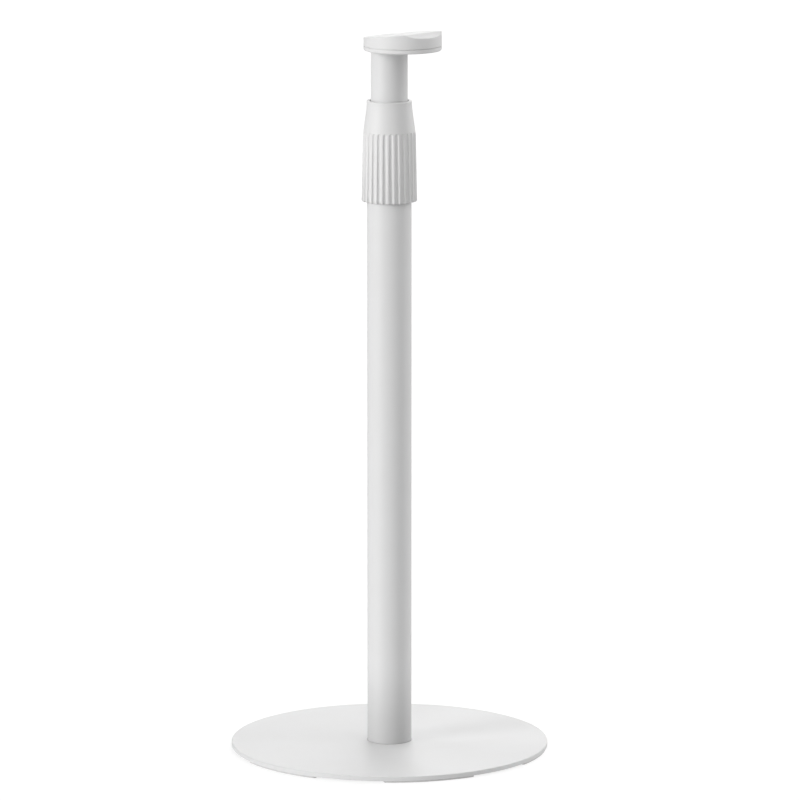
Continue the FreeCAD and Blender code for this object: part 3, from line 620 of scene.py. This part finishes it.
FLUTE_COUNT = 28
FLUTE_ROUND = 2.7
FLUTE_FLOOR = 28.3
FLUTE_LENGTH = 76.8
FLUTE_REACH = FLUTE_FLOOR + FLUTE_ROUND
FIRST_FLUTE = math.radians(10)
FLUTE_PITCH = 2 * math.pi / FLUTE_COUNT
NARROWEST_EDGE = math.radians(1.4)
RIDGE_ROUND = 0.42
EDGE_BAND = 0.45
FLUTE_NOSE = (72, 82)


def collar_profile():
    """The collar's plain outside, from its foot up to the rounded rim, as (radius, rise) points."""
    lip = COLLAR_LIP[0]
    return rounded([
        (COLLAR_FOOT, 0, 0), (*COLLAR_KINK, COLLAR_KINK_ROUND), (*COLLAR_LIP, COLLAR_LIP_ROUND),
        (lip, COLLAR_HEIGHT, COLLAR_RIM_ROUND), (lip - RIM_WIDTH, COLLAR_HEIGHT, 0),
    ], steps=10, support=0.05)[:-1]


def collar_inside():
    """The collar's hollow, from its mouth down to its foot: seal seat, ring bore, snap groove, thread."""
    return rounded([
        (COLLAR_LIP[0], COLLAR_HEIGHT, 0), (MOUTH_BORE, COLLAR_HEIGHT, 0.35), (MOUTH_BORE, MOUTH_START, 0),
        (SEAL_BORE, MOUTH_START, 0), (SEAL_BORE, SEAL_START, 0), (RING_BORE, SEAL_START, 0),
        (RING_BORE, RING_GROOVE_END, 0), (RING_GROOVE, RING_GROOVE_END, 0),
        (RING_GROOVE, RING_GROOVE_START, 0), (RING_BORE, RING_GROOVE_START, 0), (RING_BORE, THREAD_END, 0),
        (THREAD_BORE, THREAD_END, 0), (THREAD_BORE, 0, 0.6), (COLLAR_FOOT, 0, 0),
    ], steps=4)[1:-1]


def flute_section(rise):
    """Half width of a flute's cutter at a height above the collar's foot: it ends in a round nose."""
    up_the_nose = max(rise - FLUTE_LENGTH, 0)
    return math.sqrt(max(FLUTE_ROUND ** 2 - up_the_nose ** 2, 0))


def flute_turns(plain, section):
    """Angles of the points across one flute and its ridge, crowded where the flute's edge lies."""
    cosine = (FLUTE_REACH ** 2 + plain ** 2 - section ** 2) / (2 * FLUTE_REACH * plain)
    edge = max(math.acos(min(cosine, 1.0)), NARROWEST_EDGE)
    band = EDGE_BAND / plain
    half = np.concatenate([
        np.linspace(0, edge - band, 7)[:-1],
        np.linspace(edge - band, edge + band, 7),
        np.linspace(edge + band, FLUTE_PITCH / 2, 4)[1:],
    ])
    return np.concatenate([-half[:0:-1], half[:-1]])


def fluted_ring(plain, foot, rise, foot_cut=0.0):
    """One level of the collar's outside: a plain circle with the flutes scooped out of it."""
    section = flute_section(rise)
    turns = flute_turns(plain, section)
    aside = FLUTE_REACH * np.abs(np.sin(turns))
    inside = np.sqrt(np.clip(section ** 2 - aside ** 2, 0, None))
    scooped = np.where(aside < section, FLUTE_REACH * np.cos(turns) - inside, np.inf)
    radii = softly_lower(np.full_like(turns, plain), scooped, RIDGE_ROUND) - foot_cut
    middles = [FIRST_FLUTE + flute * FLUTE_PITCH for flute in range(FLUTE_COUNT)]
    return np.concatenate([level_points(radii, turns + middle, foot + rise) for middle in middles])


def twist_collar():
    """The collar: flutes with round upper ends, a plain neck above them and a hollow for the lock."""
    foot = low("twist_collar")
    profile = collar_profile()
    radii = [across for across, up in profile]
    rises = [up for across, up in profile]
    rows = []
    for turn in np.linspace(0, QUARTER, 6)[:-1]:
        rise = COLLAR_FOOT_ROUND * (1 - math.cos(turn))
        rows.append(fluted_ring(COLLAR_FOOT, foot, rise, COLLAR_FOOT_ROUND * (1 - math.sin(turn))))
    straight = np.arange(COLLAR_FOOT_ROUND, FLUTE_NOSE[0], 4.5)
    nose = np.arange(*FLUTE_NOSE, 0.25)
    neck = np.arange(FLUTE_NOSE[1], RIM_START, 1.2)
    for rise in np.concatenate([straight, nose, neck]):
        rows.append(fluted_ring(float(np.interp(rise, rises, radii)), foot, float(rise)))
    turns = np.arctan2(rows[-1][:, 1], rows[-1][:, 0])
    rim = [(across, up) for across, up in profile if up > RIM_START]
    for across, up in rim + collar_inside():
        rows.append(level_points(across, turns, foot + up))
    install(solid("grip_collar", *joined_rows(rows, loop=True)), "twist_collar")


SEAL_PLAY = 0.05
SEAL_GRIP = 0.07
SEAL_RELIEF = 0.9
SEAL_SHOULDER_UP = 3.95
SEAL_LAND_UP = 4.6
SEAL_RELIEF_UP = 3.05


def wiper_seal():
    """Rubber ring in the collar's mouth, with a rounded lip that wipes the mast."""
    foot = low("wiper_seal")
    top = high("wiper_seal")
    flange = SEAL_BORE - SEAL_PLAY
    throat = MOUTH_BORE - SEAL_PLAY
    shoulder = foot + SEAL_SHOULDER_UP
    bore = reach("inner_tube") + SEAL_GRIP
    relief = bore + SEAL_RELIEF
    outline = rounded([
        (relief, foot, 0), (flange, foot, 0.2), (flange, shoulder, 0.2), (throat, shoulder, 0),
        (throat, top, 0.35), (bore, top, 0.5), (bore, foot + SEAL_LAND_UP, 0.3),
        (relief, foot + SEAL_RELIEF_UP, 0),
    ])
    install(turned("wiper_ring", outline), "wiper_seal")


# ---------------------------------------------------------------- head

CAP_HEIGHT = 12.6
CAP_EDGE = 0.8
CAP_WALL = 3.0
HOLLOW_BELOW = 2
SLOPE = 4.9 / 43.75
SCOOP_RADIUS = 36.0
SCOOP_AHEAD = 50.0
SCOOP_HEIGHT = 47.1
BROW_SOFTNESS = 0.77
SEAM_EDGE = 0.2
SEAM_DEPTH = 1.0
SEAM_HEIGHT = 0.7
PLATE_ROUND = 1.5
PLATE_BORE = 4.05
PLATE_RING = 20
BOSS_RADIUS = 4.0
BOSS_TALL = 30
CAP_SCREW_HOLE = 2
CAP_SCREW_DEPTH = 9
FRONT_SCREW = (22, -26.3)
BACK_SCREW = (33.5, 5.9)
INSERT_RADIUS = 2.8
INSERT_FIT = 0.02
INSERT_BORE = 1.65
INSERT_THREAD = 2.0
INSERT_PITCH = 0.7
INSERT_LENGTH = 8.0
INSERT_LEVELS = 97
INSERT_GROOVE = 0.3
INSERT_GROOVE_HALF = 0.6
INSERT_SKIN = 2.2
INSERT_SEAT = INSERT_SKIN + INSERT_LENGTH + 0.05
INSERT_BOSS_RADIUS = 5.5
INSERT_BOSS_LENGTH = 10.5
DISPLAY_HOLE = 2.2


def head_centre():
    """Place of the round head's own axis."""
    return (0.0, (low("head_plate", "y") + high("head_plate", "y")) / 2)


def cap_screw_spots():
    """Places of the four screws that hold the cap on the plate, in pairs to the left and right."""
    middle = head_centre()[1]
    return [(side * across, middle + along)
            for across, along in (FRONT_SCREW, BACK_SCREW) for side in (1, -1)]


def cap_top(y, drop=0.0):
    """Height of the cap's top above its foot: the slope, with the scoop taken out ahead of the brow."""
    middle = head_centre()[1]
    slope = CAP_HEIGHT - drop + (middle - y) * SLOPE
    ahead = y - (middle - SCOOP_AHEAD)
    radius = SCOOP_RADIUS + drop
    scoop = SCOOP_HEIGHT - np.sqrt(np.clip(radius ** 2 - ahead ** 2, 0, None))
    scoop = np.where(np.abs(ahead) < radius, scoop, SCOOP_HEIGHT)
    return softly_lower(slope, scoop, BROW_SOFTNESS)


WALL_SHARES = (0.3, 0.6, 0.85)
SCOOP_ZONE = 27


def wedge(name, radius, foot, edge=0.0, seam=0.0, drop=0.0, around=DISC_AROUND):
    """The cap's form: a round block with a sloping, scooped top and a rounded rim."""
    turns = np.arange(around) * 2 * np.pi / around
    middle = head_centre()

    def row(across, height_of):
        x = middle[0] + across * np.cos(turns)
        y = middle[1] + across * np.sin(turns)
        return np.stack([x, y, foot + height_of(y)], axis=1)

    rows = [ring(0, foot, centre=middle), row(radius - seam, lambda y: np.zeros_like(y))]
    if seam:
        rows.append(row(radius, lambda y: np.full_like(y, seam)))
    for share in WALL_SHARES:
        rows.append(row(radius, lambda y: (cap_top(y, drop) - edge) * share))
    steps = 7 if edge else 1
    for turn in np.linspace(0, QUARTER, steps):
        inwards = edge * (1 - math.cos(turn))
        fall = edge * (1 - math.sin(turn))
        rows.append(row(radius - inwards, lambda y: cap_top(y, drop) - fall))
    scooped = np.arange(radius - edge - 0.3, SCOOP_ZONE, -0.55)
    plain = np.arange(SCOOP_ZONE - 3, 2, -3.0)
    for across in np.concatenate([scooped, plain]):
        rows.append(row(across, lambda y: cap_top(y, drop)))
    rows.append(ring(0, foot + float(cap_top(np.array([middle[1]]), drop)[0]), centre=middle))
    return solid(name, *joined_rows(rows, loop=False))


def on_slope(thing, depth):
    """Move a loose solid from the origin to the middle of the sloping top, a depth below it."""
    foot = low("head_cap")
    tilt = Matrix.Rotation(-math.atan(SLOPE), 4, "X")
    middle = Matrix.Translation((0, head_centre()[1] * MM, (foot + CAP_HEIGHT) * MM))
    thing.data.transform(middle @ tilt @ Matrix.Translation((0, 0, -depth * MM)))
    return thing


def head_cap():
    """A hollow cap with four screw bosses and a boss under its top for the display's insert."""
    foot = low("head_cap")
    radius = reach("head_cap")
    cap = wedge("head_shell", radius, foot, edge=CAP_EDGE, seam=SEAM_EDGE)
    hollow = wedge("hollow", radius - CAP_WALL, foot - HOLLOW_BELOW, drop=CAP_WALL - HOLLOW_BELOW, around=128)
    combine(cap, hollow)
    spots = cap_screw_spots()
    posts = [rod("post", BOSS_RADIUS, foot, foot + BOSS_TALL, spot) for spot in spots]
    posts.append(on_slope(rod("post", INSERT_BOSS_RADIUS, 0, INSERT_BOSS_LENGTH), INSERT_BOSS_LENGTH))
    posts = merged(posts)
    combine(posts, wedge("trim", radius - CAP_WALL / 2, foot, drop=CAP_WALL / 2, around=128), "INTERSECT")
    combine(cap, posts, "UNION")
    holes = [rod("hole", CAP_SCREW_HOLE, foot - OVERSHOOT, foot + CAP_SCREW_DEPTH, spot) for spot in spots]
    wide = INSERT_RADIUS + INSERT_FIT
    ledge = INSERT_BOSS_LENGTH - INSERT_SKIN
    past = INSERT_BOSS_LENGTH + OVERSHOOT
    bored = turned("hole", [
        (0, -OVERSHOOT), (wide, -OVERSHOOT), (wide, ledge), (DISPLAY_HOLE, ledge), (DISPLAY_HOLE, past),
        (0, past),
    ], around=64)
    holes.append(on_slope(bored, INSERT_BOSS_LENGTH))
    combine(cap, merged(holes))
    install(cap, "head_cap")


def head_plate():
    """The head's floor: a disc with a round lower edge, a step for the seam and its screw holes."""
    bottom = low("head_plate")
    top = high("head_plate")
    rim = reach("head_plate")
    step = top - SEAM_HEIGHT
    outline = rounded([
        (0, bottom, 0), (PLATE_RING, bottom, 0), (rim, bottom, PLATE_ROUND), (rim, step, 0.15),
        (rim - SEAM_DEPTH, step, 0), (rim - SEAM_DEPTH, top, 0), (PLATE_RING, top, 0), (0, top, 0),
    ])
    plate = turned("head_floor", outline, centre=head_centre(), around=DISC_AROUND)
    combine(plate, countersinks(cap_screw_spots(), bottom, depth=8, shank=2.2, head=4.1))
    combine(plate, rod("bore", PLATE_BORE, bottom - OVERSHOOT, top + OVERSHOOT))
    install(plate, "head_plate")


SOCKET_BORE = 4.1
SOCKET_HEAD = 1.9
SOCKET_FIT = 0.02
RECESS_RADIUS = 18.85
RECESS_DEPTH = 0.5


def swivel_socket():
    """Collar-ended plug in the mast's top that the head turns on."""
    bottom = low("swivel_socket")
    top = high("swivel_socket")
    rim = reach("swivel_socket")
    neck = rim - TUBE_WALL - SOCKET_FIT
    shoulder = top - SOCKET_HEAD
    recess = top - RECESS_DEPTH
    outline = rounded([
        (SOCKET_BORE, bottom, 0.4), (neck, bottom, 0.8), (neck, shoulder, 0), (rim, shoulder, 0.2),
        (rim, top, 0.35), (RECESS_RADIUS, top, 0.2), (RECESS_RADIUS, recess, 0), (SOCKET_BORE, recess, 0.3),
    ])
    install(turned("swivel_plug", outline), "swivel_socket")


def brass_insert():
    """Grooved brass insert with a real thread, in its boss under the head's skin."""
    turn = np.arange(THREAD_AROUND) / THREAD_AROUND
    rows = []
    for level in np.linspace(0, INSERT_LENGTH, INSERT_LEVELS):
        run_in = min(1.0, level / INSERT_PITCH, (INSERT_LENGTH - level) / INSERT_PITCH)
        depth = (INSERT_THREAD - INSERT_BORE) * run_in
        radii = INSERT_BORE + depth * thread_ridge(level / INSERT_PITCH - turn)
        rows.append(level_points(radii, turn * 2 * np.pi, level))
    rim = INSERT_RADIUS
    floor = rim - INSERT_GROOVE
    groove_bottom = INSERT_LENGTH / 2 - INSERT_GROOVE_HALF
    groove_top = INSERT_LENGTH / 2 + INSERT_GROOVE_HALF
    outside = rounded([
        (INSERT_BORE, INSERT_LENGTH, 0), (rim, INSERT_LENGTH, 0.12), (rim, groove_top, 0),
        (floor, groove_top, 0), (floor, groove_bottom, 0), (rim, groove_bottom, 0), (rim, 0, 0.15),
        (INSERT_BORE, 0, 0),
    ], steps=3)[1:-1]
    rows += [ring(across, up, THREAD_AROUND) for across, up in outside]
    insert = solid("threaded_insert", *joined_rows(rows, loop=True))
    install(on_slope(insert, INSERT_SEAT), "display_insert")


# ---------------------------------------------------------------- screws

HEAD_EDGE = 0.25
THREAD_START = 1.0
THREAD_STEPS = 6
KEY_DEPTH = 2.2
SCREW_POINT = 0.5


def countersunk_screw(name, foot, spot, shank, head, length, key, pitch):
    """A countersunk screw, head down, with a hexagonal socket and a rolled thread."""
    turn = np.arange(THREAD_AROUND) / THREAD_AROUND
    neck = head - shank
    start = neck + THREAD_START
    rows = [ring(across, up, THREAD_AROUND) for across, up in rounded([
        (0, 0, 0), (head, 0, 0.15), (head, HEAD_EDGE, 0.1), (shank, neck + HEAD_EDGE, 0.3),
        (shank, start + 0.6, 0),
    ], steps=3)[:-1]]
    for level in np.arange(start + 0.7, length - SCREW_POINT, pitch / THREAD_STEPS):
        run_in = min(1.0, (level - start) / pitch, (length - level) / pitch)
        radii = shank - pitch / 2 * thread_ridge(level / pitch - turn) * run_in
        rows.append(level_points(radii, turn * 2 * np.pi, level))
    rows += [ring(shank - SCREW_POINT, length, THREAD_AROUND), ring(0, length)]
    screw = solid(name, *joined_rows(rows, loop=False))
    combine(screw, prism("key", hexagon(key), -OVERSHOOT, KEY_DEPTH))
    screw.data.transform(Matrix.Translation((spot[0] * MM, spot[1] * MM, foot * MM)))
    return screw


def screw_set(name, node, spots, **sizes):
    """A group of equal screws, joined as one piece."""
    group = merged([countersunk_screw("screw", low(node), spot, **sizes) for spot in spots])
    group.name = name
    install(group, node)


# ---------------------------------------------------------------- the object

base_plate()
for pad_index in range(PAD_COUNT):
    foot_pad(pad_index)
screw_set("foot_screws", "base_screws", FOOT_SCREW_SPOTS, shank=2.95, head=6.0, length=18, key=4, pitch=1.0)
tube("lower_tube", "outer_tube", high("outer_tube") - OUTER_RIVETS_DOWN)
tube("mast_tube", "inner_tube", low("inner_tube") + MAST_RIVETS_UP)
twist_collar()
wiper_seal()
swivel_socket()
head_plate()
head_cap()
brass_insert()
screw_set("lid_screws", "cap_screws", cap_screw_spots(), shank=1.95, head=4.0, length=12, key=2.5, pitch=0.7)

for node_name, node in frame["nodes"].items():
    if node_name not in REPLACED:
        node.data.materials.clear()
        node.data.materials.append(FINISHES[SLOT_OF[node_name]])


# ---------------------------------------------------------------- camera, light and floor

# Distances in metres. The camera's rise is above the top of the base.
CAMERA_AZIMUTH = math.radians(-45)
CAMERA_DISTANCE = 6.84
CAMERA_RISE = 1.641
CAMERA_PITCH = math.radians(10.3375)
CAMERA_YAW = math.radians(0.1003)
LENS = 277.0
SENSOR = 36.0
FARTHEST = 100
LAMP_DISTANCE = 3
AMBIENT = 0.02

# The floor's radius in millimetres, its own tone and glow when seen, and its glow as a light.
FLOOR_RADIUS = 40000
FLOOR_TONE = 0.35
FLOOR_WHITENESS = 0.71
FLOOR_GLOW = 0.59


def direction(azimuth, elevation):
    """Unit vector from the object towards a light or camera. Azimuth 0 is the front, -Y."""
    flat = math.cos(elevation)
    return Vector((math.sin(azimuth) * flat, -math.cos(azimuth) * flat, math.sin(elevation)))


def add_camera():
    """The camera: a long lens at about twice the stand's height, looking slightly down."""
    camera = bpy.data.objects.new("camera", bpy.data.cameras.new("camera"))
    bpy.context.scene.collection.objects.link(camera)
    camera.data.lens = LENS
    camera.data.sensor_width = SENSOR
    camera.data.clip_end = FARTHEST
    plate_top = high("base_plate") * MM
    camera.location = direction(CAMERA_AZIMUTH, 0) * CAMERA_DISTANCE + Vector((0, 0, plate_top + CAMERA_RISE))
    forwards = -direction(CAMERA_AZIMUTH - CAMERA_YAW, CAMERA_PITCH)
    camera.rotation_mode = "QUATERNION"
    camera.rotation_quaternion = forwards.to_track_quat("-Z", "Y")
    bpy.context.scene.camera = camera


def soft_sun(name, azimuth, elevation, spread, strength):
    """A distant soft light, spread degrees across. Azimuth is measured from the camera's side."""
    lamp = bpy.data.lights.new(name, "SUN")
    lamp.angle = math.radians(spread)
    lamp.energy = strength
    light = bpy.data.objects.new(name, lamp)
    bpy.context.scene.collection.objects.link(light)
    towards = direction(CAMERA_AZIMUTH + math.radians(azimuth), math.radians(elevation))
    light.location = towards * LAMP_DISTANCE
    light.rotation_mode = "QUATERNION"
    light.rotation_quaternion = (-towards).to_track_quat("-Z", "Y")


def add_world():
    """Even light from all round, behind a white surround."""
    world = bpy.data.worlds.new("studio")
    bpy.context.scene.world = world
    world.use_nodes = True
    nodes = world.node_tree.nodes
    links = world.node_tree.links
    fill = nodes["Background"]
    fill.inputs["Color"].default_value = shade(1.0)
    fill.inputs["Strength"].default_value = AMBIENT
    surround = nodes.new("ShaderNodeBackground")
    surround.inputs["Strength"].default_value = 1.0
    surround.inputs["Color"].default_value = shade(1.0)
    choice = nodes.new("ShaderNodeMixShader")
    seen = nodes.new("ShaderNodeLightPath")
    links.new(seen.outputs["Is Camera Ray"], choice.inputs[0])
    links.new(fill.outputs[0], choice.inputs[1])
    links.new(surround.outputs[0], choice.inputs[2])
    links.new(choice.outputs[0], nodes["World Output"].inputs["Surface"])


def add_floor():
    """A plain pale floor, clear when it is seen from below.

    The floor is white where it is looked at. The stand gets only the soft light that a small pale
    floor would throw back.
    """
    material = bpy.data.materials.new("floor")
    material.use_nodes = True
    nodes = material.node_tree.nodes
    links = material.node_tree.links
    shader = nodes["Principled BSDF"]
    shader.inputs["Base Color"].default_value = shade(FLOOR_TONE)
    shader.inputs["Emission Color"].default_value = shade(1.0)
    shader.inputs["Emission Strength"].default_value = FLOOR_WHITENESS
    shader.inputs["Roughness"].default_value = 0.9
    shader.inputs["Specular IOR Level"].default_value = 0.1
    glow = nodes.new("ShaderNodeEmission")
    glow.inputs["Strength"].default_value = FLOOR_GLOW
    ray = nodes.new("ShaderNodeLightPath")
    seen = nodes.new("ShaderNodeMixShader")
    links.new(ray.outputs["Is Camera Ray"], seen.inputs[0])
    links.new(glow.outputs[0], seen.inputs[1])
    links.new(shader.outputs[0], seen.inputs[2])
    clear = nodes.new("ShaderNodeBsdfTransparent")
    choice = nodes.new("ShaderNodeMixShader")
    side = nodes.new("ShaderNodeNewGeometry")
    links.new(side.outputs["Backfacing"], choice.inputs[0])
    links.new(seen.outputs[0], choice.inputs[1])
    links.new(clear.outputs[0], choice.inputs[2])
    links.new(choice.outputs[0], nodes["Material Output"].inputs["Surface"])
    floor = turned("studio_floor", [(0, 0), (FLOOR_RADIUS, 0)], around=64)
    for polygon_face in floor.data.polygons:
        if polygon_face.normal.z < 0:
            polygon_face.flip()
    floor.data.materials.append(material)


add_camera()
add_world()
soft_sun("key", azimuth=-60, elevation=12, spread=30, strength=2.14)
soft_sun("front", azimuth=0, elevation=30, spread=40, strength=0.55)
soft_sun("front_high", azimuth=0, elevation=60, spread=40, strength=0.10)
soft_sun("fill", azimuth=60, elevation=60, spread=40, strength=0.57)
soft_sun("side", azimuth=90, elevation=30, spread=40, strength=0.50)
soft_sun("rim", azimuth=120, elevation=12, spread=30, strength=0.78)
soft_sun("back_right", azimuth=150, elevation=30, spread=40, strength=0.84)
soft_sun("back", azimuth=180, elevation=12, spread=30, strength=0.44)
soft_sun("back_high", azimuth=180, elevation=45, spread=40, strength=0.36)
soft_sun("back_left", azimuth=-120, elevation=45, spread=40, strength=0.54)
add_floor()
bpy.context.scene.view_settings.view_transform = "Standard"
bpy.context.scene.view_settings.look = "None"
